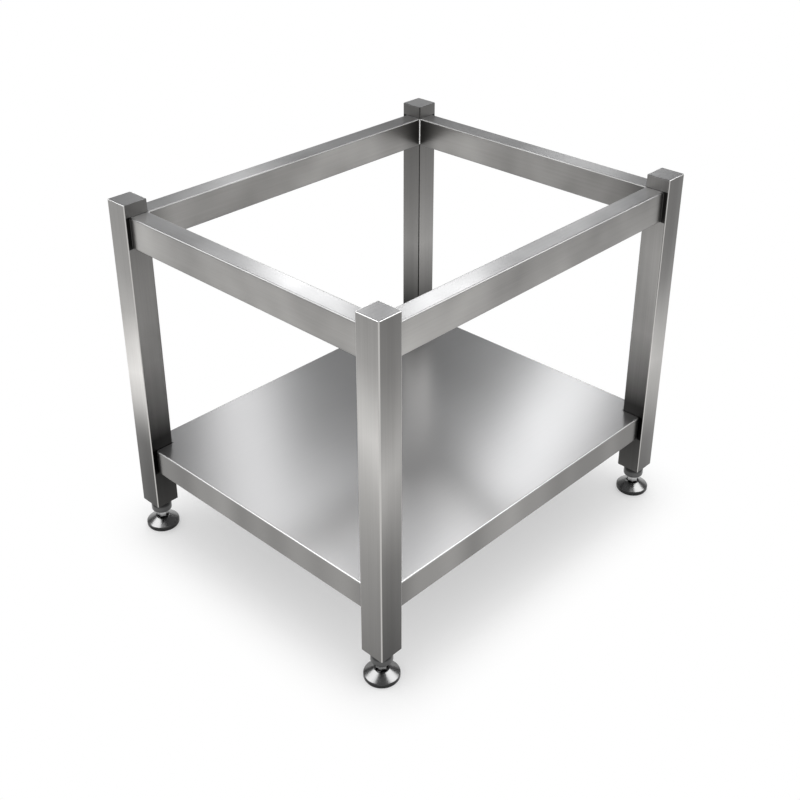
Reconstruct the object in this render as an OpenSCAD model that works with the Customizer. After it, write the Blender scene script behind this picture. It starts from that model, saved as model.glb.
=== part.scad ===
// Stainless-steel stand for an outdoor pizza oven. Four square-tube legs are joined by
// four top rails. A folded undershelf is bolted to a bracket on every leg, and a
// levelling foot screws into the lower end of every leg.
// The origin is on the floor under the middle of the stand, with +X to the right,
// +Y to the back and +Z up. All sizes are in millimetres.

/* [Stand] */
// Width over the outer faces of the legs
stand_w = 650; // [450:10:1200]
// Depth over the outer faces of the legs
stand_d = 540; // [450:10:900]

/* [Legs] */
// Side of the square leg tube
leg_side = 40; // [38:1:50]
// Length of a leg
leg_len = 520; // [300:10:900]
// Wall of the leg tube
leg_wall = 1.5; // [1:0.25:2.5]
// Outside corner radius of the leg tube
leg_corner_r = 2.5; // [1:0.5:5]
// Thickness of the plate that closes the top of a leg
cap_t = 2; // [1:0.5:5]

/* [Top rails] */
// Height of a rail
rail_h = 48; // [30:1:80]
// Width of a rail, measured in from its outer face to the inner face of the legs
rail_w = 32; // [20:1:36]
// Wall of the rail tube
rail_wall = 1.5; // [1:0.25:2.5]
// Outside corner radius of the rail tube
rail_corner_r = 2.5; // [1:0.5:5]
// How far the legs stand up above the rails
rail_drop = 20; // [5:1:60]

/* [Undershelf] */
// Height of the upper face above the lower ends of the legs
shelf_rise = 106; // [60:2:250]
// Thickness of the sheet
shelf_t = 1.5; // [1:0.25:2]
// Height of the folded rim
shelf_rim_h = 42; // [35:1:60]
// Width of the lip folded inwards under the rim
shelf_lip_w = 12; // [6:1:25]
// Outside radius of the folds
fold_r = 2.5; // [2.25:0.25:5]
// Gap between the shelf and the legs
notch_gap = 1; // [0.5:0.5:3]

/* [Shelf stiffeners] */
// Distance between the middles of the two stiffeners
stiffener_spacing = 200; // [120:10:280]
// Width of the raised part of a stiffener
stiffener_w = 30; // [20:1:60]
// Width of each flange that lies against the shelf
stiffener_flange_w = 12; // [8:1:20]
// Depth of a stiffener
stiffener_h = 22; // [12:1:32]
// Thickness of the stiffener sheet
stiffener_t = 1.5; // [1:0.25:2.5]

/* [Shelf brackets] */
// Thickness of the bracket plate
bracket_t = 3; // [2:0.5:6]
// How far a bracket reaches in from the inner faces of its leg
bracket_reach = 45; // [30:1:55]
// Diameter of the studs under the shelf
stud_d = 6; // [5:1:8]
// Length of stud left below the nut
stud_tip = 3; // [1:0.5:6]
// Outside diameter of the washers
washer_d = 12; // [11:0.5:18]
// Thickness of the washers
washer_t = 1.6; // [1:0.2:2.4]
// Width of the nuts across flats
nut_af = 10; // [10:1:14]
// Height of the nuts
nut_h = 5; // [3:0.5:8]

/* [Feet] */
// How far a foot screws out
foot_travel = 24.5; // [5:0.5:40]
// Diameter of the collar under the leg
collar_d = 32; // [24:1:36]
// Height of the collar under the leg
collar_h = 20; // [8:1:30]
// Radius round the lower edge of the collar
collar_edge_r = 3; // [1:0.5:6]
// Height of the square plug inside the leg
plug_h = 25; // [15:1:60]
// Diameter of the spindle's thread
spindle_d = 12; // [8:1:14]
// Length of thread still in the insert when the foot is screwed out
spindle_grip = 33; // [20:1:50]
// Width of the spindle's hexagon across flats
hex_af = 15; // [13:1:17]
// Height of the spindle's hexagon
hex_h = 16; // [10:1:30]
// Diameter of the pin that turns in the base
pin_d = 10; // [6:0.5:12]
// Diameter of the rivet head under the pin
rivet_d = 16; // [14:0.5:24]
// Thickness of the rivet head
rivet_t = 2.5; // [1.5:0.5:3]
// Diameter of the foot's base
base_d = 52; // [48:1:80]
// Height of the base's upright rim
base_rim_h = 5.4; // [4:0.1:12]
// Height of the base's cone above the rim
base_cone_h = 8; // [6:0.5:16]
// Diameter of the cone's upper end
base_neck_d = 22; // [22:0.5:30]
// Width of the lip round the recess in the cone's upper end
base_lip_w = 1; // [0.5:0.25:1.5]
// Depth of the recess in which the hexagon sits
recess_depth = 3; // [1:0.5:4]
// Thickness of the base's web between the recess and the rivet head
web_t = 5.4; // [3:0.1:7]
// Thickness of the rubber sole
sole_t = 4; // [3:0.5:8]
// Depth to which the sole is let into the base
sole_seat = 1; // [0.5:0.25:2]
// Width of the base's rim round the sole
sole_rim_w = 1.5; // [1:0.25:3]

/* [Fits] */
// Gap round the caps and the plugs inside the leg tubes
tube_fit = 0.1; // [0.05:0.05:0.4]
// Gap round a screw or a pin in its bore
bore_fit = 0.05; // [0.02:0.01:0.1]
// Gap between faces that turn or screw against each other
face_gap = 0.3; // [0.2:0.1:0.5]
// Gap round a stud in the hole of its bracket
hole_gap = 0.3; // [0.2:0.1:0.8]
// Gap between a piece under the shelf and the fold next to it
fold_gap = 0.5; // [0.3:0.1:1]
// Gap round the rivet head in its pocket
pocket_gap = 1; // [0.5:0.25:2]

/* [Hidden] */
$fn = 64;

// Name of each corner, with the side of the stand that it is on along X and along Y
CORNERS = [
    ["front_left", -1, -1],
    ["front_right", 1, -1],
    ["back_left", -1, 1],
    ["back_right", 1, 1]
];

brushed_steel = [0.70, 0.69, 0.68];
satin_steel = [0.76, 0.75, 0.74];
polished_steel = [0.86, 0.86, 0.87];
zinc = [0.62, 0.64, 0.66];
black_rubber = [0.08, 0.08, 0.08];

// Heights of the foot's faces above the floor, from the sole up
base_z = sole_t - sole_seat;
rim_top_z = base_z + base_rim_h;
cone_top_z = rim_top_z + base_cone_h;
recess_z = cone_top_z - recess_depth;
pocket_top_z = recess_z - web_t;
hex_z = recess_z + face_gap;
hex_top_z = hex_z + hex_h;
collar_z = hex_top_z + face_gap;
leg_z = collar_z + collar_h;

spindle_len = foot_travel + spindle_grip;
leg_top_z = leg_z + leg_len;
rail_top_z = leg_top_z - rail_drop;
shelf_z = leg_z + shelf_rise;
shelf_under_z = shelf_z - shelf_t;

// How far the rails and the shelf lie back from the outer faces of the legs
setback = leg_side - rail_w;
leg_bore = leg_side - 2 * leg_wall;
leg_bore_r = max(leg_corner_r - leg_wall, 0.5);
rail_bore_r = max(rail_corner_r - rail_wall, 0.5);

shelf_w = stand_w - 2 * setback;
shelf_d = stand_d - 2 * setback;
// Side of the notch, from the shelf's outer edge to the far side of the gap round the leg
notch = rail_w + notch_gap;

// Corner plate: its edge beside the rim, and its far edge, from the leg's outer corner
bracket_near = setback + fold_r + fold_gap;
bracket_far = leg_side + bracket_reach;
bracket_z = shelf_under_z - bracket_t;
washer_z = bracket_z - washer_t;
nut_z = washer_z - nut_h;
// The two studs of a corner, from the leg's outer corner
stud_along = leg_side + bracket_reach / 2;
stud_across = (bracket_near + leg_side) / 2;
STUDS = [[stud_along, stud_across], [stud_across, stud_along]];
stud_len = shelf_under_z - nut_z + stud_tip;

// Puts its children at a corner, with +X and +Y running in from the leg's outer corner
module at_corner(corner) {
    translate([corner[1] * stand_w / 2, corner[2] * stand_d / 2, 0])
        mirror([corner[1] + 1, 0, 0])
            mirror([0, corner[2] + 1, 0])
                children();
}

// Puts its children on the axis of the leg at a corner
module on_leg_axis(corner) {
    at_corner(corner)
        translate([leg_side / 2, leg_side / 2, 0])
            children();
}

// Puts its children at every stud under the shelf
module at_studs() {
    for (corner = CORNERS)
        at_corner(corner)
            for (stud = STUDS)
                translate([stud[0], stud[1], 0])
                    children();
}

// Rectangle about the origin with round corners
module round_rect(w, d, r) {
    square([w - 2 * r, d], center = true);
    square([w, d - 2 * r], center = true);
    for (x = [-1, 1], y = [-1, 1])
        translate([x * (w / 2 - r), y * (d / 2 - r)])
            circle(r);
}

module leg() {
    color(brushed_steel)
        translate([0, 0, leg_z])
            linear_extrude(leg_len)
                difference() {
                    round_rect(leg_side, leg_side, leg_corner_r);
                    round_rect(leg_bore, leg_bore, leg_bore_r);
                }
}

module leg_cap() {
    side = leg_bore - 2 * tube_fit;
    color(brushed_steel)
        translate([0, 0, leg_top_z - cap_t])
            linear_extrude(cap_t)
                round_rect(side, side, leg_bore_r);
}

// Rail along X about the origin, with its upper face at z = 0
module rail(length) {
    color(brushed_steel)
        translate([-length / 2, 0, -rail_h / 2])
            rotate([90, 0, 90])
                linear_extrude(length)
                    difference() {
                        round_rect(rail_w, rail_h, rail_corner_r);
                        round_rect(rail_w - 2 * rail_wall, rail_h - 2 * rail_wall, rail_bore_r);
                    }
}

// Front rail for side = -1, back rail for side = 1
module long_rail(side) {
    translate([0, side * (stand_d / 2 - setback - rail_w / 2), rail_top_z])
        rail(stand_w - 2 * leg_side);
}

// Left rail for side = -1, right rail for side = 1
module short_rail(side) {
    translate([side * (stand_w / 2 - setback - rail_w / 2), 0, rail_top_z])
        rotate([0, 0, 90])
            rail(stand_d - 2 * leg_side);
}

// Quarter of a fold that turns the sheet from level at its top to upright at its left
module fold_section() {
    intersection() {
        difference() {
            circle(fold_r);
            circle(fold_r - shelf_t);
        }
        translate([-fold_r, 0])
            square(fold_r);
    }
}

// Section of the rim: x runs in from its outer face, y up from its lower edge
module rim_section() {
    translate([fold_r, shelf_rim_h - fold_r])
        fold_section();
    translate([0, fold_r])
        square([shelf_t, shelf_rim_h - 2 * fold_r]);
    translate([fold_r, fold_r])
        rotate(90)
            fold_section();
    translate([fold_r, 0])
        square([shelf_lip_w - fold_r, shelf_t]);
}

// Rim along X about the origin, with its outer face at y = 0 towards the front
module rim(length) {
    translate([-length / 2, 0, shelf_z - shelf_rim_h])
        rotate([90, 0, 90])
            linear_extrude(length)
                rim_section();
}

module undershelf() {
    color(satin_steel) {
        translate([0, 0, shelf_under_z])
            linear_extrude(shelf_t) {
                square([shelf_w - 2 * fold_r, shelf_d - 2 * notch], center = true);
                square([shelf_w - 2 * notch, shelf_d - 2 * fold_r], center = true);
            }
        for (turn = [0, 180])
            rotate([0, 0, turn])
                translate([0, -shelf_d / 2, 0])
                    rim(shelf_w - 2 * notch);
        for (turn = [90, 270])
            rotate([0, 0, turn])
                translate([0, -shelf_w / 2, 0])
                    rim(shelf_d - 2 * notch);
    }
}

// Section of a top-hat stiffener, with its flanges' upper faces at y = 0
module stiffener_section() {
    for (side = [0, 1])
        mirror([side, 0]) {
            translate([stiffener_w / 2 - stiffener_t, -stiffener_t])
                square([stiffener_flange_w + stiffener_t, stiffener_t]);
            translate([stiffener_w / 2 - stiffener_t, -stiffener_h])
                square([stiffener_t, stiffener_h]);
        }
    translate([-stiffener_w / 2, -stiffener_h])
        square([stiffener_w, stiffener_t]);
}

module shelf_stiffener(side) {
    length = shelf_w - 2 * (fold_r + fold_gap);
    color(satin_steel)
        translate([-length / 2, side * stiffener_spacing / 2, shelf_under_z])
            rotate([90, 0, 90])
                linear_extrude(length)
                    stiffener_section();
}

// Plate welded to the two inner faces of a leg, with a hole for each stud
module shelf_bracket() {
    color(brushed_steel)
        translate([0, 0, bracket_z])
            linear_extrude(bracket_t)
                difference() {
                    polygon([
                        [bracket_near, leg_side],
                        [leg_side, leg_side],
                        [leg_side, bracket_near],
                        [bracket_far, bracket_near],
                        [bracket_far, leg_side],
                        [leg_side, bracket_far],
                        [bracket_near, bracket_far]
                    ]);
                    for (stud = STUDS)
                        translate([stud[0], stud[1]])
                            circle(stud_d / 2 + hole_gap);
                }
}

module shelf_studs() {
    color(satin_steel)
        at_studs()
            translate([0, 0, shelf_under_z - stud_len])
                cylinder(h = stud_len, d = stud_d);
}

module shelf_washers() {
    color(zinc)
        at_studs()
            translate([0, 0, washer_z])
                difference() {
                    cylinder(h = washer_t, d = washer_d);
                    translate([0, 0, -1])
                        cylinder(h = washer_t + 2, d = stud_d + 2 * bore_fit);
                }
}

module shelf_nuts() {
    color(zinc)
        at_studs()
            translate([0, 0, nut_z])
                difference() {
                    cylinder(h = nut_h, d = nut_af / cos(30), $fn = 6);
                    translate([0, 0, -1])
                        cylinder(h = nut_h + 2, d = stud_d + 2 * bore_fit);
                }
}

// Half section of the collar, with its lower face at y = 0
module collar_section() {
    square([collar_d / 2 - collar_edge_r, collar_h]);
    translate([0, collar_edge_r])
        square([collar_d / 2, collar_h - collar_edge_r]);
    translate([collar_d / 2 - collar_edge_r, collar_edge_r])
        circle(collar_edge_r);
}

// Threaded insert: a square plug inside the leg and a round collar below it
module foot_insert() {
    side = leg_bore - 2 * tube_fit;
    color(satin_steel)
        difference() {
            union() {
                translate([0, 0, collar_z])
                    rotate_extrude()
                        intersection() {
                            collar_section();
                            square([collar_d, collar_h]);
                        }
                translate([0, 0, leg_z])
                    linear_extrude(plug_h)
                        round_rect(side, side, leg_bore_r);
            }
            translate([0, 0, collar_z - 1])
                cylinder(h = collar_h + plug_h + 2, d = spindle_d + 2 * bore_fit);
        }
}

// Spindle: thread above, hexagon, and a pin riveted over inside the base
module foot_spindle() {
    rivet_z = pocket_top_z - face_gap - rivet_t;
    color(polished_steel) {
        translate([0, 0, hex_top_z])
            cylinder(h = spindle_len - 1, d = spindle_d);
        translate([0, 0, hex_top_z + spindle_len - 1])
            cylinder(h = 1, d1 = spindle_d, d2 = spindle_d - 2);
        translate([0, 0, hex_z])
            cylinder(h = hex_h, d = hex_af / cos(30), $fn = 6);
        translate([0, 0, rivet_z])
            cylinder(h = hex_z - rivet_z, d = pin_d);
        translate([0, 0, rivet_z])
            cylinder(h = rivet_t, d = rivet_d);
    }
}

// Cone-shaped base, with a recess above for the hexagon and a pocket below for the rivet
module foot_base() {
    pocket_d = rivet_d + 2 * pocket_gap;
    color(polished_steel)
        difference() {
            union() {
                translate([0, 0, base_z])
                    cylinder(h = base_rim_h, d = base_d);
                translate([0, 0, rim_top_z])
                    cylinder(h = base_cone_h, d1 = base_d, d2 = base_neck_d);
            }
            translate([0, 0, recess_z])
                cylinder(h = recess_depth + 1, d = base_neck_d - 2 * base_lip_w);
            translate([0, 0, base_z])
                cylinder(h = recess_z - base_z + 1, d = pin_d + 2 * bore_fit);
            translate([0, 0, base_z - 1])
                cylinder(h = pocket_top_z - base_z + 1, d = pocket_d);
            translate([0, 0, base_z - 1])
                cylinder(h = sole_seat + 1, d = base_d - 2 * sole_rim_w);
        }
}

module foot_sole() {
    color(black_rubber)
        cylinder(h = sole_t, d = base_d - 2 * sole_rim_w - 2 * tube_fit);
}

for (corner = CORNERS) {
    name = corner[0];
    on_leg_axis(corner) leg();
    on_leg_axis(corner) leg_cap();
    at_corner(corner) shelf_bracket();
    on_leg_axis(corner) foot_insert();
    on_leg_axis(corner) foot_spindle();
    on_leg_axis(corner) foot_base();
    on_leg_axis(corner) foot_sole();
}
long_rail(-1);  // rail_front
long_rail(1);  // rail_back
short_rail(-1);  // rail_left
short_rail(1);  // rail_right
undershelf();
shelf_stiffener(-1);  // shelf_stiffener_front
shelf_stiffener(1);  // shelf_stiffener_back
shelf_studs();
shelf_washers();
shelf_nuts();
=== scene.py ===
import math

import bmesh
import bpy
from mathutils import Matrix, Vector


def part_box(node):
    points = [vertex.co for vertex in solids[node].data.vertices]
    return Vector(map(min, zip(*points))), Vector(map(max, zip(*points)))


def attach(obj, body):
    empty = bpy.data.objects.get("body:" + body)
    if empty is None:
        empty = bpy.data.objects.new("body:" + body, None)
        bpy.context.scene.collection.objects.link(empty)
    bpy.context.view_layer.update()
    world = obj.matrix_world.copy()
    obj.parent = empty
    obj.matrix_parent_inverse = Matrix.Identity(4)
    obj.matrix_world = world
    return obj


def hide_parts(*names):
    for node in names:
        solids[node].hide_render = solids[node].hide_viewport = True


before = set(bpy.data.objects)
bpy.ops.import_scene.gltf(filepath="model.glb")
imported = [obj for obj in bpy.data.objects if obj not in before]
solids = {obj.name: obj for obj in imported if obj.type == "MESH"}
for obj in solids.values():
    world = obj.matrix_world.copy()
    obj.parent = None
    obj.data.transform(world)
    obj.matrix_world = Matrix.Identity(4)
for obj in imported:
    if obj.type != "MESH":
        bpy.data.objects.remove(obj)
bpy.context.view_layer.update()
corners = [f"{end}_{side}" for end in ("front", "back") for side in ("left", "right")]

# Studio
# The stand is photographed from above its front left leg, on a pale floor that
# runs to white. A box overhead makes the shadow, two strips behind draw the
# streaks on the shelf, and cards light the rails' tops, the edges and the feet.
scene = bpy.context.scene
scene.view_settings.view_transform = "Standard"


class Wire:
    """A value in a node tree. Sums written on it in Python add Math nodes, and add() brings other nodes."""

    def __init__(self, tree, socket=None):
        self.tree, self.socket = tree, socket

    def add(self, kind, settings=None, inputs=None, out=0):
        node = self.tree.nodes.new(kind)
        for name, value in (settings or {}).items():
            if name == "stops":
                band = node.color_ramp.elements
                for _ in value[2:]:
                    band.new(0.5)
                for stop, (place, level) in zip(band, value):
                    stop.position, stop.color = place, (level, level, level, 1)
            else:
                setattr(node, name, value)
        for name, value in (inputs or {}).items():
            socket = node.inputs[name] if isinstance(name, int) else next(
                s for s in node.inputs if name in (s.identifier, s.name))
            if isinstance(value, Wire):
                self.tree.links.new(value.socket, socket)
            else:
                socket.default_value = value
        made = [s for n, s in enumerate(node.outputs) if out in (n, s.identifier, s.name)]
        return Wire(self.tree, made[0] if made else None)

    def sum(self, operation, first, second=0.0):
        return self.add("ShaderNodeMath", {"operation": operation}, {0: first, 1: second})

    def __add__(self, other):
        return self.sum("ADD", self, other)

    def __sub__(self, other):
        return self.sum("SUBTRACT", self, other)

    def __mul__(self, other):
        return self.sum("MULTIPLY", self, other)

    def __truediv__(self, other):
        return self.sum("DIVIDE", self, other)

    def __rsub__(self, other):
        return self.sum("SUBTRACT", other, self)

    __radd__, __rmul__ = __add__, __mul__

    def vector(self, operation, first, second=(0, 0, 0), out="Vector"):
        """A Vector Math node. SCALE takes a number in place of the second vector."""
        place = "Scale" if operation == "SCALE" else 1
        return self.add("ShaderNodeVectorMath", {"operation": operation}, {0: first, place: second}, out)

    def most(self, other):
        return self.sum("MAXIMUM", self, other)

    def size(self):
        return self.sum("ABSOLUTE", self)

    def parts(self):
        """The X, Y and Z of a vector."""
        return [self.add("ShaderNodeSeparateXYZ", inputs={0: self}, out=axis) for axis in "XYZ"]

    def fade(self, low, high):
        """0 below low and 1 above high, with a smooth way between them."""
        return self.add("ShaderNodeMapRange", {"interpolation_type": "SMOOTHSTEP"},
                        {"Value": self, "From Min": low, "From Max": high})

    def ramp(self, low, high, stops):
        """Follows stops of place and level, up to a level of 2, as the value goes from low to high."""
        share = self.add("ShaderNodeMapRange", inputs={"Value": self, "From Min": low, "From Max": high})
        halved = [(place, level / 2) for place, level in stops]
        return self.add("ShaderNodeValToRGB", {"stops": halved}, {"Fac": share}, "Color") * 2


def seen_ray(start):
    """1 for the rays that show the background itself: the camera's, and those in metal and glass."""
    camera, glossy, through = [start.add("ShaderNodeLightPath", out=f"Is {kind} Ray")
                               for kind in ("Camera", "Glossy", "Transmission")]
    return camera.most(glossy).most(through)


def new_finish(name):
    """A material without nodes, and a wire to build them with."""
    finish = bpy.data.materials.new(name)
    finish.use_nodes = True
    finish.node_tree.nodes.clear()
    return finish, Wire(finish.node_tree)


def as_mesh(name, shell):
    """A mesh in place of a shell."""
    mesh = bpy.data.meshes.new(name)
    shell.to_mesh(mesh)
    shell.free()
    return mesh


sky_white, sky_grey, sky_fill, sky_low, sky_high = 1.0, 0.24, 0.93, 0.18, 0.32
world = bpy.data.worlds.new("studio_sky")
scene.world = world
world.use_nodes = True
world.node_tree.nodes.clear()
sky = Wire(world.node_tree)
height = sky.add("ShaderNodeTexCoord", out="Generated").parts()[2]
shown = sky_white - height.fade(sky_low, sky_high) * (sky_white - sky_grey)
seen = seen_ray(sky)
background = sky.add("ShaderNodeBackground", inputs={
    "Color": (1, 1, 1, 1), "Strength": seen * shown + (1 - seen) * sky_fill})
sky.add("ShaderNodeOutputWorld", inputs={"Surface": background})

floor_radius, floor_white, floor_share, floor_fade, stand_half = 9.0, 0.93, 0.40, 0.12, (0.30, 0.25, 0)
disc = bmesh.new()
bmesh.ops.create_circle(disc, cap_ends=True, cap_tris=True, segments=96, radius=floor_radius)
floor = bpy.data.objects.new("floor", as_mesh("floor", disc))
scene.collection.objects.link(floor)
floor_paint, paint = new_finish("floor_paint")
floor_paint.cycles.emission_sampling = "NONE"
matt = paint.add("ShaderNodeBsdfDiffuse", inputs={"Color": (floor_white, floor_white, floor_white, 1)})
glow = paint.add("ShaderNodeEmission", inputs={"Color": (1, 1, 1, 1), "Strength": seen_ray(paint)})
past = paint.vector("ABSOLUTE", paint.add("ShaderNodeTexCoord", out="Object"))
past = paint.vector("SUBTRACT", past, stand_half)
beyond = paint.vector("LENGTH", paint.vector("MAXIMUM", past), out="Value").fade(0.0, floor_fade)
paint.add("ShaderNodeOutputMaterial", inputs={"Surface": paint.add("ShaderNodeMixShader", inputs={
    0: floor_share + beyond * (1 - floor_share), 1: matt, 2: glow})})
floor.data.materials.append(floor_paint)


def softbox(name, at, towards, width, tall, level, tilt=0.0, card=False):
    """A rectangular lamp at one point, facing another, whose face is level times as bright as white.
    A card is only mirrored in the metal, and puts no light on the floor."""
    lamp = bpy.data.lights.new(name, "AREA")
    lamp.shape, lamp.size, lamp.size_y = "RECTANGLE", width, tall
    lamp.energy = level * math.pi * width * tall
    placed = bpy.data.objects.new(name, lamp)
    turn = (Vector(towards) - Vector(at)).to_track_quat("-Z", "Y").to_matrix().to_4x4()
    placed.matrix_world = Matrix.Translation(at) @ turn @ Matrix.Rotation(math.radians(tilt), 4, "Z")
    placed.visible_camera = False
    placed.visible_diffuse = not card
    scene.collection.objects.link(placed)


softbox("softbox_above", (0.2, 0.3, 2.9), (0, 0, 0.2), 2.4, 2.4, 0.88)
softbox("strip_back_left", (1.33, 2.13, 1.91), (-0.1, 0.1, 0.25), 0.26, 1.2, 2.35)
softbox("strip_back_right", (2.12, 1.32, 1.97), (0.1, -0.1, 0.25), 0.28, 1.2, 3.5, -27)
softbox("rail_card_left", (0.092, 0.31, 0.86), (-1.0, 0.31, 0.86), 0.24, 0.24, 3.9, card=True)
softbox("rail_card_front", (0.26, 0.143, 0.86), (0.26, -1.0, 0.86), 0.22, 0.24, 3.9, card=True)
softbox("shelf_card", (1.62, 1.92, 2.27), (-0.25, -0.1, 0.15), 0.50, 0.45, 1.4, card=True)
softbox("card_left", (-1.0, 1.05, 1.95), (-0.15, 0.0, 0.2), 1.9, 1.5, 4.5, card=True)
softbox("card_right", (1.05, -1.0, 1.95), (0.0, -0.15, 0.2), 1.9, 1.5, 4.5, card=True)
softbox("floor_strip_left", (-0.90, 0.55, 0.01), (-0.90, 0.55, 1.0), 0.14, 1.6, 1.2, card=True)
softbox("floor_strip_right", (0.45, -0.72, 0.01), (0.45, -0.72, 1.0), 1.6, 0.14, 1.0, card=True)

lens_pixels, picture, rise = 1202.0, 800, -0.1
eye, tipped_up, turned_right = (-1.1865, -1.1240, 1.2150), 62.1, 46.4
camera_data = bpy.data.cameras.new("camera")
camera_data.lens = lens_pixels / picture * camera_data.sensor_width
camera_data.shift_y = rise
camera = bpy.data.objects.new("camera", camera_data)
camera.location = eye
camera.rotation_euler = (math.radians(tipped_up), 0, math.radians(-turned_right))
scene.collection.objects.link(camera)
scene.camera = camera


# Legs
# Four 40 mm square tubes of stainless steel with a 1.5 mm wall, linished
# along their length. The rim of each top end is rounded over where its plate
# was welded in and ground flush. The corners are painted brighter than the
# faces, partly as wear and partly as a painted highlight, and the faces carry
# painted light and shade along their height and in the nooks.
def linished_steel(name, along, grey, rough, shade=None, streaks=1.0, depth=0.12, edge_wear_and_highlight=1.1,
                   inner_edge_light_and_shade=1.1, clouds=0.3, haze=0.0):
    """Satin steel with its grain along one axis. shade(at, face, inner) gives a tone by place, by way of
    facing, and by whether a side faces the middle of the stand, mostly as painted light and shade.
    Corners are painted brighter, partly as wear and partly as a painted highlight. haze is the share of a
    softer sheen round the sharp one."""
    grain_across, grain_along, band_across, band_along, cloud_scale = 900.0, 9.0, 260.0, 2.2, 7.0
    grain_tone, band_tone, grain_rub, cloud_rub, corner_rub = 0.16, 0.18, 0.10, 0.04, 0.06
    corner_low, corner_high, inner_low, inner_high = 0.02, 0.16, -0.10, -0.05
    upright_reflection_tint, level_reflection_tint = (1.02, 1.0, 0.97, 1), (1.0, 1.0, 1.01, 1)
    relief_height, softer = 0.00012, 0.07
    finish, w = new_finish(name)
    place = w.add("ShaderNodeTexCoord", out="Object")
    way = w.add("ShaderNodeTexCoord", out="Normal").parts()
    face = [part.size() for part in way]
    axis = "XYZ".index(along)
    fine, broad = [grain_across] * 3, [band_across] * 3
    fine[axis], broad[axis] = grain_along, band_along
    grain, bands = [w.add("ShaderNodeTexNoise", inputs={
        "Vector": w.add("ShaderNodeMapping", inputs={"Vector": place, "Scale": scale}),
        "Scale": 1.0, "Detail": 2.0, "Roughness": 0.6}) for scale in (fine, broad)]
    cloud = w.add("ShaderNodeTexNoise", inputs={"Vector": place, "Scale": cloud_scale, "Detail": 2.0})
    corner = (1 - face[0].most(face[1]).most(face[2])).fade(corner_low, corner_high)
    tone = 1 + (grain - 0.5) * (grain_tone * streaks) + (bands - 0.5) * (band_tone * streaks)
    tone = tone + (cloud - 0.5) * clouds
    at = place.parts()
    inner = 1 - (at[0] * way[0] + at[1] * way[1]).fade(inner_low, inner_high)
    if shade:
        tone = tone * shade(at, face, inner)
    # Corners take their own painted tone: brighter outside, partly wear and partly a painted highlight, and
    # set apart on inner faces, where the legs' corners are painted shade.
    tone = tone * (1 - corner) + corner * (edge_wear_and_highlight + inner * (inner_edge_light_and_shade - edge_wear_and_highlight))
    # Upright faces are tinted a little warmer than level ones: a painted reflection tint.
    tint = w.add("ShaderNodeMix", {"data_type": "RGBA"}, {
        "Factor_Float": face[2], "A_Color": upright_reflection_tint, "B_Color": level_reflection_tint}, "Result_Color")
    rub = rough + (grain - 0.5) * (grain_rub * streaks) + (cloud - 0.5) * cloud_rub + corner * corner_rub
    relief = w.add("ShaderNodeBump", inputs={"Strength": depth, "Distance": relief_height, "Height": grain})
    metal = {"Base Color": w.vector("SCALE", tint, tone * grey), "Metallic": 1.0, "Normal": relief}
    steel = w.add("ShaderNodeBsdfPrincipled", inputs={**metal, "Roughness": rub})
    if haze:
        soft = w.add("ShaderNodeBsdfPrincipled", inputs={**metal, "Roughness": rub + softer})
        steel = w.add("ShaderNodeMixShader", inputs={0: haze, 1: steel, 2: soft})
    w.add("ShaderNodeOutputMaterial", inputs={"Surface": steel})
    return finish


def rounded_square(half, corner, level, steps=6):
    """A ring of points round a square of that half side, with round corners, at a level."""
    ring = []
    for quarter in range(4):
        turn = Matrix.Rotation(quarter * math.pi / 2, 3, "Z")
        for step in range(steps + 1):
            angle = step / steps * math.pi / 2
            ring.append(turn @ Vector((half - corner + corner * math.cos(angle),
                                       half - corner + corner * math.sin(angle), level)))
    return ring


def skin(rings, hollow=False, crease=0.6):
    """A closed shell through rings of equal count. A hollow one runs on from its last ring to its first."""
    shell = bmesh.new()
    loops = [[shell.verts.new(point) for point in ring] for ring in rings]
    for low, high in zip(loops, loops[1:] + loops[:1] if hollow else loops[1:]):
        for n in range(len(low)):
            m = (n + 1) % len(low)
            shell.faces.new((low[n], low[m], high[m], high[n]))
    if not hollow:
        shell.faces.new(loops[0])
        shell.faces.new(loops[-1])
    bmesh.ops.recalc_face_normals(shell, faces=shell.faces)
    for facet in shell.faces:
        facet.smooth = True
    for edge in shell.edges:
        edge.smooth = edge.calc_face_angle(0) < crease
    return shell


def centred(shell, low, high):
    """A shell made about Z, moved to the middle of a solid's box."""
    bmesh.ops.translate(shell, verts=shell.verts, vec=((low.x + high.x) / 2, (low.y + high.y) / 2, 0))
    return shell


def piece(name, shape, finish, body, slot, *replaced):
    """A piece from a mesh or a shell, with its finish, body, and the solids that it stands for. Its slot is
    not used.
    """
    mesh = as_mesh(name, shape) if isinstance(shape, bmesh.types.BMesh) else shape
    mesh.materials.clear()
    mesh.materials.append(finish)
    made = bpy.data.objects.new(name, mesh)
    scene.collection.objects.link(made)
    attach(made, body)
    if replaced:
        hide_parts(*replaced)


def dress(nodes, finish):
    """Gives CAD solids a finish in place of their plain one."""
    for name in nodes:
        mesh = solids[name].data
        mesh.materials.clear()
        mesh.materials.append(finish)


leg_low, leg_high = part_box("leg_back_right")
leg_axis = (leg_low + leg_high) / 2
rail_low, rail_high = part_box("rail_back")
side_low, side_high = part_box("rail_right")
shelf_low, shelf_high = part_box("undershelf")
leg_wall, leg_corner, top_round, end_round = 0.0015, 0.0025, 0.0012, 0.0004
line, middle_fade = 0.0005, 0.1


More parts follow.
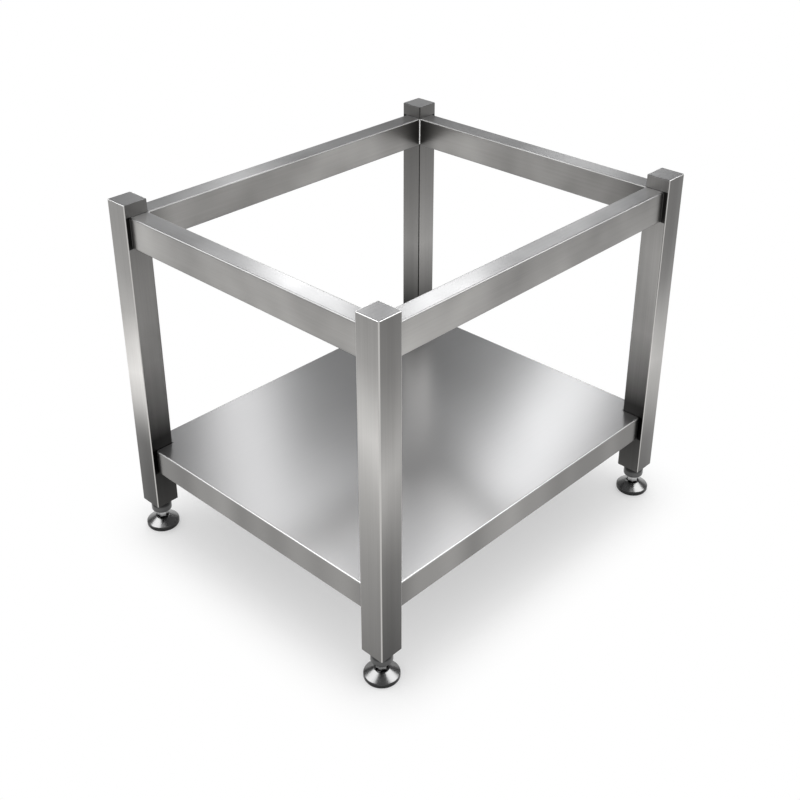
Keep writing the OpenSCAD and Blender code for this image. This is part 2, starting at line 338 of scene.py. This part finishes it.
def painted_light_on_legs(at, face, inner):
    """Painted light and shade: brightest above the middle and darker at the ends, darker on the inner faces,
    and painted shade in the nooks by the rails and the shelf.
    """
    slant_sides, slant_ends, back_middle, back_contrast, back_low_shade = 0.22, 0.15, 0.7, 1.1, 0.7
    right_middle, right_contrast, right_lift, inner_back, inner_ends, nook_shade = 0.5, 1.3, 0.2, 0.58, 0.6, 0.9
    low_start, low_end = 0.16, 0.26
    across, deep, low = at[0].size(), at[1].size(), 1 - at[2].fade(low_start, low_end)
    right, back = [part.fade(-middle_fade, middle_fade) for part in at[:2]]
    facing_sides = (at[2] + (at[1] + leg_axis.y) * slant_sides).ramp(leg_low.z, leg_high.z, [
        (0.0, 0.55), (0.14, 0.64), (0.30, 0.75), (0.50, 1.0), (0.68, 1.28), (0.78, 1.08), (0.88, 0.80),
        (1.0, 0.70)])
    facing_ends = (at[2] + (at[0] + leg_axis.x) * slant_ends).ramp(leg_low.z, leg_high.z, [
        (0.0, 0.22), (0.14, 0.30), (0.30, 0.41), (0.48, 0.73), (0.58, 0.84), (0.72, 0.64), (0.86, 0.44),
        (1.0, 0.38)])
    facing_in = at[2].ramp(leg_low.z, leg_high.z, [
        (0.0, 0.30), (0.10, 0.22), (0.18, 0.08), (0.24, 0.08), (0.36, 0.77), (0.50, 1.45), (0.70, 0.98),
        (1.0, 0.60)])
    facing_sides = facing_sides * (1 + back * (facing_sides - back_middle) * back_contrast)
    facing_sides = facing_sides * (1 - back * low * back_low_shade)
    gained = (facing_ends - right_middle) * right_contrast + low * right_lift
    facing_ends = facing_ends * (1 + right * gained)
    facing_out = facing_sides * face[0] + facing_ends * face[1] + face[2]
    facing_in = facing_in * (face[0] * (1 - back * inner_back) + face[1] * inner_ends)
    tone = facing_out + (facing_in - facing_out) * inner * (1 - face[2])
    past_side = (1 - across.fade(leg_low.x, leg_low.x + line)) * deep.fade(rail_high.y - line, rail_high.y)
    past_end = (1 - deep.fade(leg_low.y, leg_low.y + line)) * across.fade(side_high.x - line, side_high.x)
    by_rail = at[2].fade(rail_low.z - 2 * line, rail_low.z)
    by_rail = by_rail * (1 - at[2].fade(rail_high.z, rail_high.z + 2 * line))
    by_shelf = at[2].fade(shelf_low.z - 2 * line, shelf_low.z)
    by_shelf = by_shelf * (1 - at[2].fade(shelf_high.z, shelf_high.z + 2 * line))
    return tone * (1 - (past_side + past_end) * (by_rail + by_shelf) * nook_shade)


satin_grey, satin_rough = 0.32, 0.31
leg_steel = linished_steel("leg_steel", "Z", satin_grey, satin_rough, painted_light_on_legs,
                           edge_wear_and_highlight=1.6, inner_edge_light_and_shade=0.1, clouds=0.12)
for corner_name in corners:
    low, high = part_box(f"leg_{corner_name}")
    half = (high.x - low.x) / 2
    outline = [(end_round, low.z), (0, low.z + end_round)]
    outline += [(top_round * (1 - math.cos(a)), high.z - top_round + top_round * math.sin(a))
                for a in (step * math.pi / 8 for step in range(5))]
    outline += [(leg_wall - end_round / 2, high.z), (leg_wall, high.z - end_round / 2),
                (leg_wall, low.z + end_round / 2), (leg_wall - end_round / 2, low.z)]
    tube = skin([rounded_square(half - inset, leg_corner - inset, level) for inset, level in outline],
                hollow=True)
    piece(f"leg_tube_{corner_name}", centred(tube, low, high), leg_steel, "stand", "frame_steel",
          f"leg_{corner_name}")


# Leg caps
# A 2 mm plate let into the top of each leg, welded round from above and
# ground flush. Its grain runs across the leg, and the weld is a fine line
# that is a little duller than the plate.
weld_line, weld_dull, near_painted_shade, plate_grip, below_flush = 0.0175, 0.22, 0.4, 0.0001, 0.00005


def shade_caps(at, face, inner):
    """Duller along the ground weld, and the front left plate painted darker than the others as shade."""
    out = (at[0].size() - leg_axis.x).size().most((at[1].size() - leg_axis.y).size())
    near = 1 - at[0].most(at[1]).fade(-middle_fade, middle_fade)
    return (1 - out.fade(weld_line - line, weld_line) * weld_dull) * (1 - near * near_painted_shade)


plate_grey, plate_rough = satin_grey * 1.05, 0.30
cap_steel = linished_steel("cap_steel", "X", plate_grey, plate_rough, shade_caps)
for corner_name in corners:
    low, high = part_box(f"leg_cap_{corner_name}")
    half = (high.x - low.x) / 2 + plate_grip
    cap = skin([rounded_square(half, leg_corner - leg_wall, level)
                for level in (low.z, high.z - below_flush)])
    piece(f"leg_plate_{corner_name}", centred(cap, low, high), cap_steel, "stand", "cap_steel",
          f"leg_cap_{corner_name}")


# Top rails
# 48 x 32 mm tubes, linished along their length and butt welded to the legs,
# the front and back ones along X. A fillet of weld runs round each end, painted
# dark, partly as heat tint and partly as shade, and one runs down the inner
# corner between two rails, painted bright as a highlight.
def shade_rails(run, across, flush):
    """The tone of the rails along one axis: painted shade near the ends inside, with a dark line at each
    joint.
    """
    end_shade_length, end_shade, joint_length, joint_dark = 0.05, 0.5, 0.003, 0.45

    def shade(at, face, inner):
        reach = at[run].size()
        end = (rail_high.x, side_high.y)[run]
        inward = (1 - at[across].size().fade(flush, flush + line)) * (1 - face[2])
        by_end, by_joint = reach.fade(end - end_shade_length, end), reach.fade(end - joint_length, end)
        return (1 - inward * by_end * end_shade) * (1 - by_joint * joint_dark)
    return shade


rail_grey = satin_grey * 0.80
rail_finish = {"streaks": 0.8, "depth": 0.04, "edge_wear_and_highlight": 1.0, "inner_edge_light_and_shade": 0.7, "clouds": 1.5}
long_rail_steel = linished_steel("long_rail_steel", "X", rail_grey, satin_rough,
                                 shade_rails(0, 1, rail_low.y), **rail_finish)
short_rail_steel = linished_steel("short_rail_steel", "Y", rail_grey, satin_rough,
                                  shade_rails(1, 0, side_low.x), **rail_finish)
dress(["rail_front", "rail_back"], long_rail_steel)
dress(["rail_left", "rail_right"], short_rail_steel)


def grown(name, start, build, sizes, finish):
    """The plain mesh that a Geometry Nodes tree makes from a start mesh. build wires the tree from its
    named inputs."""
    kinds = {bpy.types.Object: "NodeSocketObject"}
    tree = bpy.data.node_groups.new(name, "GeometryNodeTree")
    tree.interface.new_socket("Geometry", in_out="INPUT", socket_type="NodeSocketGeometry")
    labels = {label: tree.interface.new_socket(
        label, in_out="INPUT", socket_type=kinds.get(type(value), "NodeSocketFloat")).identifier
        for label, value in sizes.items()}
    tree.interface.new_socket("Geometry", in_out="OUTPUT", socket_type="NodeSocketGeometry")
    given = {s.name: Wire(tree, s) for s in tree.nodes.new("NodeGroupInput").outputs}
    shape = build(given)
    shape = shape.add("GeometryNodeRealizeInstances", inputs={0: shape})
    shape = shape.add("GeometryNodeSetMaterial", inputs={"Geometry": shape, "Material": finish})
    shape.add("NodeGroupOutput", inputs={0: shape})
    holder = bpy.data.objects.new(name, start)
    scene.collection.objects.link(holder)
    grow = holder.modifiers.new(name, "NODES")
    grow.node_group = tree
    for label, value in sizes.items():
        grow[labels[label]] = value
    made = bpy.data.meshes.new_from_object(holder.evaluated_get(bpy.context.evaluated_depsgraph_get()))
    holder.modifiers.remove(grow)
    bpy.data.objects.remove(holder)
    return made


def lines(name, paths):
    """A mesh of bare edges along open paths."""
    points, edges = [], []
    for path in paths:
        edges += [(len(points) + n, len(points) + n + 1) for n in range(len(path) - 1)]
        points += path
    mesh = bpy.data.meshes.new(name)
    mesh.from_pydata(points, edges, [])
    return mesh


def weld_bead(given):
    """A round bead along each path, with the ripples of a welding pass."""
    spots_in_ripple = 5
    path = given["Geometry"].add("GeometryNodeMeshToCurve", inputs={0: given["Geometry"]})
    path = path.add("GeometryNodeFilletCurve", {"mode": "POLY"}, {
        "Curve": path, "Count": 4, "Radius": given["Corner"], "Limit Radius": True})
    path = path.add("GeometryNodeResampleCurve", {"mode": "LENGTH"}, {
        "Curve": path, "Length": given["Ripple pitch"] / spots_in_ripple})
    along = path.add("GeometryNodeSplineParameter", out="Length")
    ripple = 1 + path.sum("SINE", along * (2 * math.pi) / given["Ripple pitch"]) * given["Ripple height"]
    path = path.add("GeometryNodeSetCurveRadius", inputs={"Curve": path, "Radius": ripple})
    ring = path.add("GeometryNodeCurvePrimitiveCircle", {"mode": "RADIUS"}, {
        "Resolution": 8, "Radius": given["Bead radius"]})
    return path.add("GeometryNodeCurveToMesh", inputs={
        "Curve": path, "Profile Curve": ring, "Fill Caps": True})


# The end welds are painted near black, partly heat tint and partly shade; the corner beads are painted bright
# as a highlight.
weld_steel = linished_steel("weld_steel", "Z", grey=0.05, rough=0.38, streaks=0.4,
                            edge_wear_and_highlight=1.0, inner_edge_light_and_shade=1.0)
bright_weld_steel = linished_steel("bright_weld_steel", "Z", grey=0.6, rough=0.24, streaks=0.4,
                                   edge_wear_and_highlight=1.9, inner_edge_light_and_shade=1.9)
bead_sizes = {"Corner": leg_corner, "Ripple pitch": 0.0016, "Ripple height": 0.10, "Bead radius": 0.0011}
sink = 0.0003
end_paths = []
for sx in (-1, 1):
    for sy in (-1, 1):
        for run, flush, outer in ((0, rail_low.y, rail_high.y), (1, side_low.x, side_high.x)):
            end = (rail_high.x, side_high.y)[run]
            open_end = [(flush + leg_corner, rail_low.z + sink), (outer - sink, rail_low.z + sink),
                        (outer - sink, rail_high.z - sink), (flush + leg_corner, rail_high.z - sink)]
            end_paths.append([(sx * end, sy * deep, z) if run == 0 else (sx * deep, sy * end, z)
                              for deep, z in open_end])
rail_beads = grown("rail_welds", lines("rail_weld_paths", end_paths), weld_bead, bead_sizes, weld_steel)
piece("rail_welds", rail_beads, weld_steel, "stand", "frame_steel")
inner_paths = [[(sx * side_low.x, sy * rail_low.y, rail_low.z + leg_corner),
                (sx * side_low.x, sy * rail_low.y, rail_high.z - line)] for sx in (-1, 1) for sy in (-1, 1)]
corner_beads = grown("corner_welds", lines("corner_weld_paths", inner_paths), weld_bead, {
    **bead_sizes, "Ripple height": 0.03, "Bead radius": 0.0016}, bright_weld_steel)
piece("corner_welds", corner_beads, bright_weld_steel, "stand", "frame_steel")


# Undershelf
# One sheet of 1.5 mm stainless, notched round the legs and folded down 42 mm
# on all sides with a small lip below. It is brushed along its length, finer
# than the tubes, and has a sharp sheen with a softer one round it.
def shade_sheet(at, face, inner):
    """The folded rim is painted darker than the sheet, as shade, and varies in patches."""
    rim_painted_shade, patch_dull, patch_scale = 0.43, 0.9, 9.0
    level = at[0].add("ShaderNodeCombineXYZ", inputs={"X": at[0], "Y": at[1]})
    patches = level.add("ShaderNodeTexNoise", inputs={"Vector": level, "Scale": patch_scale, "Detail": 1.0})
    return 1 - (1 - face[2]) * (rim_painted_shade + (patches - 0.5) * patch_dull)


sheet_steel = linished_steel("sheet_steel", "X", grey=0.40, rough=0.22, shade=shade_sheet, streaks=0.2,
                             depth=0.0, clouds=0.04, haze=0.3)
dress(["undershelf"], sheet_steel)


# Shelf stiffeners
# Two folded top-hat channels under the sheet, left with their mill finish,
# and fixed by a row of spot welds along each flange.
channel_steel = linished_steel("channel_steel", "X", grey=0.34, rough=0.42, streaks=0.6)
dress(["shelf_stiffener_front", "shelf_stiffener_back"], channel_steel)
spot_pitch, spot_radius, spot_height = 0.055, 0.003, 0.0003
flange_middle, flange_wall = 0.021, 0.0015
spot_rows = []
for end in ("front", "back"):
    low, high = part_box(f"shelf_stiffener_{end}")
    middle = (low.y + high.y) / 2
    spot_rows += [[(low.x + spot_pitch / 2, middle + side * flange_middle, high.z - flange_wall),
                   (high.x - spot_pitch / 2, middle + side * flange_middle, high.z - flange_wall)]
                  for side in (-1, 1)]


def spot_row(given):
    """Low round pads at an even pitch along each line, on the underside of the flanges."""
    face_share = 0.7
    path = given["Geometry"].add("GeometryNodeMeshToCurve", inputs={0: given["Geometry"]})
    points = path.add("GeometryNodeCurveToPoints", {"mode": "LENGTH"}, {
        "Curve": path, "Length": given["Pitch"]})
    pad = path.add("GeometryNodeMeshCone", {"fill_type": "NGON"}, {
        "Vertices": 20, "Radius Top": given["Pad radius"], "Radius Bottom": given["Pad radius"] * face_share,
        "Depth": given["Pad height"]})
    below = pad.add("ShaderNodeCombineXYZ", inputs={"Z": given["Pad height"] * -1})
    pad = pad.add("GeometryNodeTransform", inputs={"Geometry": pad, "Translation": below})
    return points.add("GeometryNodeInstanceOnPoints", inputs={"Points": points, "Instance": pad})


pads = grown("shelf_spot_welds", lines("spot_lines", spot_rows), spot_row, {
    "Pitch": spot_pitch, "Pad radius": spot_radius, "Pad height": spot_height}, channel_steel)
piece("shelf_spot_welds", pads, channel_steel, "stand", "stiffener_steel")


# Shelf brackets
# A 3 mm plate with clipped corners at each leg, sheared, drilled for its two
# studs and welded to the leg's inner faces.
plate_steel = linished_steel("plate_steel", "X", grey=0.32, rough=0.40, streaks=0.6)
dress([f"shelf_bracket_{corner_name}" for corner_name in corners], plate_steel)
bracket_low, bracket_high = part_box("shelf_bracket_back_right")
weld_margin = 0.004
inner_end = [(leg_low.x - sink, y) for y in (leg_low.y + weld_margin, bracket_high.y - weld_margin)]
inner_side = [(x, leg_low.y - sink) for x in (leg_low.x + weld_margin, bracket_high.x - weld_margin)]
bracket_paths = []
for sx in (-1, 1):
    for sy in (-1, 1):
        for level in (bracket_low.z + sink, bracket_high.z - sink):
            bracket_paths += [[(sx * x, sy * y, level) for x, y in path] for path in (inner_end, inner_side)]
bracket_beads = grown("bracket_welds", lines("bracket_weld_paths", bracket_paths), weld_bead, {
    **bead_sizes, "Bead radius": 0.0009}, weld_steel)
piece("bracket_welds", bracket_beads, weld_steel, "stand", "bracket_steel")


# Shelf fasteners
# Two M6 studs at each leg, welded to the underside of the sheet. Each comes
# down through its bracket and takes a plated washer and a hexagon nut.
def circle(radius, level, count=48):
    """A ring of points at a radius and a level."""
    turns = [n * 2 * math.pi / count for n in range(count)]
    return [Vector((radius * math.cos(turn), radius * math.sin(turn), level)) for turn in turns]


def hexagon(flats, cut, level, count=48):
    """A ring round a hexagon of that width across flats, whose corners are turned off at the radius cut."""
    ring = []
    for n in range(count):
        angle = n * 2 * math.pi / count
        reach = min(flats / 2 / math.cos((angle + math.pi / 6) % (math.pi / 3) - math.pi / 6), cut)
        ring.append(Vector((reach * math.cos(angle), reach * math.sin(angle), level)))
    return ring


def hexagon_sides(flats, low, high, chamfer=0.0012, steps=4):
    """Rings up a hexagon whose corners are chamfered at both ends. Its end faces are a little smaller
    than its width."""
    end_share = 0.96
    corner, face = flats / math.sqrt(3), flats / 2 * end_share
    cuts = [(face + (corner - face) * s / steps, chamfer * s / steps) for s in range(steps + 1)]
    return ([hexagon(flats, cut, low + rise) for cut, rise in cuts]
            + [hexagon(flats, cut, high - rise) for cut, rise in reversed(cuts)])


def screw_thread(given):
    """A cylinder about Z whose side is cut by a right-hand thread, with its last turn chamfered."""
    rings_in_turn = 8
    blank = given["Geometry"].add("GeometryNodeMeshCylinder", {"fill_type": "NGON"}, {
        "Vertices": 32, "Side Segments": given["Length"] / given["Pitch"] * rings_in_turn,
        "Radius": given["Radius"], "Depth": given["Length"]})
    spot = blank.add("GeometryNodeInputPosition")
    x, y, z = spot.parts()
    turn = x.sum("ARCTAN2", y, x) / (2 * math.pi)
    groove = x.sum("PINGPONG", z / given["Pitch"] - turn, 0.5) * 2 * given["Depth"]
    tip = (z - given["Length"] / 2 + given["Chamfer"]).most(0.0)
    outward = spot.vector("NORMALIZE", spot.add("ShaderNodeCombineXYZ", inputs={"X": x, "Y": y}))
    cut = spot.vector("SCALE", outward, groove.most(tip) * -1)
    return blank.add("GeometryNodeSetPosition", inputs={"Geometry": blank, "Offset": cut})


def stood(given):
    """A copy of the fastener at every point, each turned by its own chance amount."""
    turn = given["Geometry"].add("FunctionNodeRandomValue", {"data_type": "FLOAT"}, {
        "Min_001": 0.0, "Max_001": 2 * math.pi, "Seed": 5}, "Value_001")
    copy = turn.add("GeometryNodeObjectInfo", inputs={"Object": given["Fastener"]}, out="Geometry")
    return copy.add("GeometryNodeInstanceOnPoints", inputs={
        "Points": copy.add("GeometryNodeMeshToPoints", inputs={0: given["Geometry"]}), "Instance": copy,
        "Rotation": copy.add("ShaderNodeCombineXYZ", inputs={"Z": turn})})


stud_along, stud_across, stud_pitch = 0.0625, 0.0255, 0.001
stud_low, stud_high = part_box("shelf_studs")
washer_low, washer_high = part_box("shelf_washers")
nut_low, nut_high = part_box("shelf_nuts")
stud_radius, stud_play, nut_flats, nut_chamfer, washer_radius = 0.003, 0.00005, 0.010, 0.0008, 0.006
eased = 0.0003
stud_spots = [(sx * (leg_high.x - a), sy * (leg_high.y - b), 0) for sx in (-1, 1) for sy in (-1, 1)
              for a, b in ((stud_along, stud_across), (stud_across, stud_along))]
fastener_steel = linished_steel("fastener_steel", "Z", grey=0.42, rough=0.30, streaks=0.3)
stud = grown("stud", bpy.data.meshes.new("stud_start"), screw_thread, {
    "Length": stud_high.z - stud_low.z, "Radius": stud_radius, "Pitch": stud_pitch, "Depth": 0.0005,
    "Chamfer": 0.0007}, fastener_steel)
stud.transform(Matrix.Rotation(math.pi, 4, "X"))
stud.transform(Matrix.Translation((0, 0, (stud_low.z + stud_high.z) / 2)))
hole = stud_radius + stud_play
washer = skin([circle(hole, washer_low.z), circle(washer_radius - eased, washer_low.z),
               circle(washer_radius, washer_low.z + eased), circle(washer_radius, washer_high.z - eased),
               circle(washer_radius - eased, washer_high.z), circle(hole, washer_high.z)], hollow=True)
nut = skin([circle(hole, nut_low.z + 2 * eased), circle(hole + 2 * eased, nut_low.z)]
           + hexagon_sides(nut_flats, nut_low.z, nut_high.z, nut_chamfer)
           + [circle(hole + 2 * eased, nut_high.z), circle(hole, nut_high.z - 2 * eased)], hollow=True)
for name, shape in (("studs", stud), ("washers", as_mesh("washer", washer)), ("nuts", as_mesh("nut", nut))):
    sample = bpy.data.objects.new(f"one_of_{name}", shape)
    made = grown(f"shelf_{name}_all", lines(f"{name}_points", [[spot] for spot in stud_spots]), stood,
                 {"Fastener": sample}, fastener_steel)
    bpy.data.objects.remove(sample)
    piece(f"shelf_{name}_set", made, fastener_steel, "stand", "fasteners", f"shelf_{name}")


# Foot inserts
# A square plug driven into the end of each leg, tapped for the foot's screw,
# with a round collar below that is turned and dark, painted darker still
# towards the leg as shade.
def turned_steel(name, grey, rough, ring_depth=0.2, painted_shade_levels=None, span=None):
    """Steel turned about a leg's axis: fine rings round it, a few rubs, and a painted shade that may follow
    levels over a span of height."""
    ring_scale, rub_scale, rub_tone, rub_rough = 2600, 160.0, 0.2, 0.12
    relief_depth, relief_height = 0.12, 0.0001
    finish, w = new_finish(name)
    place = w.add("ShaderNodeTexCoord", out="Object")
    out = w.vector("SUBTRACT", w.vector("ABSOLUTE", place), (leg_axis.x, leg_axis.y, 0))
    radius = w.vector("LENGTH", w.vector("MULTIPLY", out, (1, 1, 0)), out="Value")
    height = place.parts()[2]
    rings = w.add("ShaderNodeTexNoise", inputs={"Vector": w.add("ShaderNodeCombineXYZ", inputs={
        "X": radius * ring_scale, "Y": height * ring_scale}), "Scale": 1.0, "Detail": 2.0})
    rubs = w.add("ShaderNodeTexNoise", inputs={
        "Vector": place, "Scale": rub_scale, "Detail": 3.0, "Roughness": 0.65})
    tone = 1 + (rings - 0.5) * ring_depth + (rubs - 0.5) * rub_tone
    if painted_shade_levels:
        tone = tone * height.ramp(*span, painted_shade_levels)
    relief = w.add("ShaderNodeBump", inputs={
        "Strength": relief_depth, "Distance": relief_height, "Height": rings})
    steel = w.add("ShaderNodeBsdfPrincipled", inputs={
        "Base Color": w.vector("SCALE", (grey, grey, grey), tone), "Metallic": 1.0,
        "Roughness": rough + (rubs - 0.5) * rub_rough, "Normal": relief})
    w.add("ShaderNodeOutputMaterial", inputs={"Surface": steel})
    return finish


collar_radius, collar_height, collar_round, collar_points = 0.016, 0.020, 0.003, 56
bore_radius, plug_ease, plug_corner = 0.00605, 0.0008, 0.001
# The collar is painted darker towards the leg, as the shade under it.
insert_steel = turned_steel("insert_steel", grey=0.10, rough=0.30, painted_shade_levels=[
    (0.0, 1.0), (0.45, 1.1), (0.62, 0.35), (1.0, 0.15)], span=(leg_low.z - collar_height, leg_low.z))
for corner_name in corners:
    low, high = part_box(f"foot_insert_{corner_name}")
    half = (high.x - low.x) / 2
    outline = [(bore_radius, low.z + plug_ease), (bore_radius + plug_ease, low.z)]
    outline += [(collar_radius - collar_round * (1 - math.sin(a)), low.z + collar_round * (1 - math.cos(a)))
                for a in (step * math.pi / 16 for step in range(9))]
    outline += [(collar_radius, leg_low.z)]
    plug = [(half, leg_low.z), (half, high.z - plug_ease), (half - plug_ease, high.z)]
    insert = skin([circle(radius, level, collar_points) for radius, level in outline]
                  + [rounded_square(side, plug_corner, level, collar_points // 4 - 1) for side, level in plug]
                  + [circle(bore_radius, high.z, collar_points)], hollow=True)
    piece(f"foot_collar_{corner_name}", centred(insert, low, high), insert_steel, "stand", "insert_steel",
          f"foot_insert_{corner_name}")


# Foot spindles
# An M12 screw with a chamfered hexagon to turn it by. Below the hexagon a
# plain pin passes through the base, and its end is spread to a rivet head.
spindle_radius, spindle_pitch, thread_depth, thread_chamfer = 0.006, 0.00175, 0.0009, 0.001
hex_flats, hex_low, hex_high = 0.015, 0.0137, 0.0297
pin_radius, rivet_radius, rivet_height, spindle_crease = 0.005, 0.008, 0.0025, 0.45
spindle_steel = turned_steel("spindle_steel", grey=0.50, rough=0.14, ring_depth=0.12)
spindle_low, spindle_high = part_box("foot_spindle_back_right")
thread_length = spindle_high.z - hex_high + line
thread = grown("spindle_thread", bpy.data.meshes.new("thread_start"), screw_thread, {
    "Length": thread_length, "Radius": spindle_radius, "Pitch": spindle_pitch, "Depth": thread_depth,
    "Chamfer": thread_chamfer}, spindle_steel)
thread.transform(Matrix.Translation((0, 0, spindle_high.z - thread_length / 2)))
rivet_top = spindle_low.z + rivet_height
outline = [(rivet_radius - eased, spindle_low.z), (rivet_radius, spindle_low.z + eased),
           (rivet_radius, rivet_top - eased), (rivet_radius - eased, rivet_top), (pin_radius, rivet_top),
           (pin_radius, hex_low)]
rings = [circle(radius, level) for radius, level in outline] + hexagon_sides(hex_flats, hex_low, hex_high)
for corner_name in corners:
    low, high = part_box(f"foot_spindle_{corner_name}")
    spindle = skin(rings, crease=spindle_crease)
    spindle.from_mesh(thread)
    piece(f"foot_screw_{corner_name}", centred(spindle, low, high), spindle_steel, f"spindle_{corner_name}",
          "spindle_steel", f"foot_spindle_{corner_name}")


# Foot bases
# A turned and polished cone with an upright rim. A recess in its top takes
# the hexagon, and a pocket below holds the rivet head and the sole.
rim_height, neck_radius, cone_round, cone_points, cone_crease = 0.0054, 0.011, 0.0009, 72, 0.5
recess_radius, recess_depth, hole_radius, pocket_radius, pocket_top = 0.010, 0.003, 0.00505, 0.009, 0.008
seat_radius, seat_depth, base_shade_low, base_shade_high = 0.0245, 0.001, 0.003, 0.0164
# The rim and the foot of the cone are painted dark, as shade.
base_steel = turned_steel("base_steel", grey=0.18, rough=0.22, ring_depth=0.16, painted_shade_levels=[
    (0.0, 0.20), (0.34, 0.22), (0.42, 1.0), (1.0, 1.0)], span=(base_shade_low, base_shade_high))
for corner_name in corners:
    low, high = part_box(f"foot_base_{corner_name}")
    full = (high.x - low.x) / 2
    rim_top = low.z + rim_height
    slope = Vector((full - neck_radius, rim_top - high.z)).normalized()
    rim_round = [(0, -1), (0.10, -0.35), (0.40, 0.10), (slope.x, -slope.y)]
    neck_round = [(slope.x, slope.y), (0.3, -0.12)]
    outline = [(full - eased, low.z), (full, low.z + eased)]
    outline += [(full - cone_round * inward, rim_top + cone_round * up) for inward, up in rim_round]
    outline += [(neck_radius + cone_round * outward, high.z + cone_round * up) for outward, up in neck_round]
    outline += [(neck_radius - eased, high.z), (recess_radius + eased, high.z),
                (recess_radius, high.z - eased), (recess_radius, high.z - recess_depth),
                (hole_radius, high.z - recess_depth), (hole_radius, pocket_top),
                (pocket_radius, pocket_top), (pocket_radius, low.z + seat_depth),
                (seat_radius, low.z + seat_depth), (seat_radius, low.z)]
    base = skin([circle(radius, level, cone_points) for radius, level in outline], hollow=True,
                crease=cone_crease)
    piece(f"foot_cone_{corner_name}", centred(base, low, high), base_steel, f"foot_{corner_name}",
          "foot_polished", f"foot_base_{corner_name}")


# Foot soles
# A moulded disc of black rubber let into the base, with two round grooves in
# its tread.
def moulded_rubber(name, grey, rough):
    """Black rubber with a fine even tooth, rubbed paler here and there."""
    tooth_scale, tooth_tone, tooth_depth, tooth_height = 2400.0, 0.5, 0.25, 0.0001
    rub_scale, rub_low, rub_high, rub_tone, rub_rough = 90.0, 0.5, 0.7, 0.6, 0.2
    finish, w = new_finish(name)
    place = w.add("ShaderNodeTexCoord", out="Object")
    tooth, rubbed = [w.add("ShaderNodeTexNoise", inputs={"Vector": place, "Scale": scale, "Detail": 2.0})
                     for scale in (tooth_scale, rub_scale)]
    tone = 1 + (tooth - 0.5) * tooth_tone + rubbed.fade(rub_low, rub_high) * rub_tone
    relief = w.add("ShaderNodeBump", inputs={
        "Strength": tooth_depth, "Distance": tooth_height, "Height": tooth})
    rubber = w.add("ShaderNodeBsdfPrincipled", inputs={
        "Base Color": w.vector("SCALE", (grey, grey, grey), tone),
        "Roughness": rough + (rubbed - 0.5) * rub_rough, "Normal": relief})
    w.add("ShaderNodeOutputMaterial", inputs={"Surface": rubber})
    return finish


sole_rubber = moulded_rubber("sole_rubber", grey=0.022, rough=0.68)
groove_width, groove_depth, groove_radii, middle_radius = 0.0016, 0.0009, (0.020, 0.0135), 0.002
for corner_name in corners:
    low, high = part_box(f"foot_sole_{corner_name}")
    full = (high.x - low.x) / 2
    outline = [(full, high.z), (full, low.z + 2 * eased), (full - 2 * eased, low.z)]
    for radius in groove_radii:
        outline += [(radius + groove_width / 2, low.z), (radius + groove_width / 4, low.z + groove_depth),
                    (radius - groove_width / 4, low.z + groove_depth), (radius - groove_width / 2, low.z)]
    outline += [(middle_radius, low.z)]
    sole = skin([circle(radius, level, cone_points) for radius, level in outline])
    piece(f"foot_pad_{corner_name}", centred(sole, low, high), sole_rubber, f"foot_{corner_name}",
          "sole_rubber", f"foot_sole_{corner_name}")
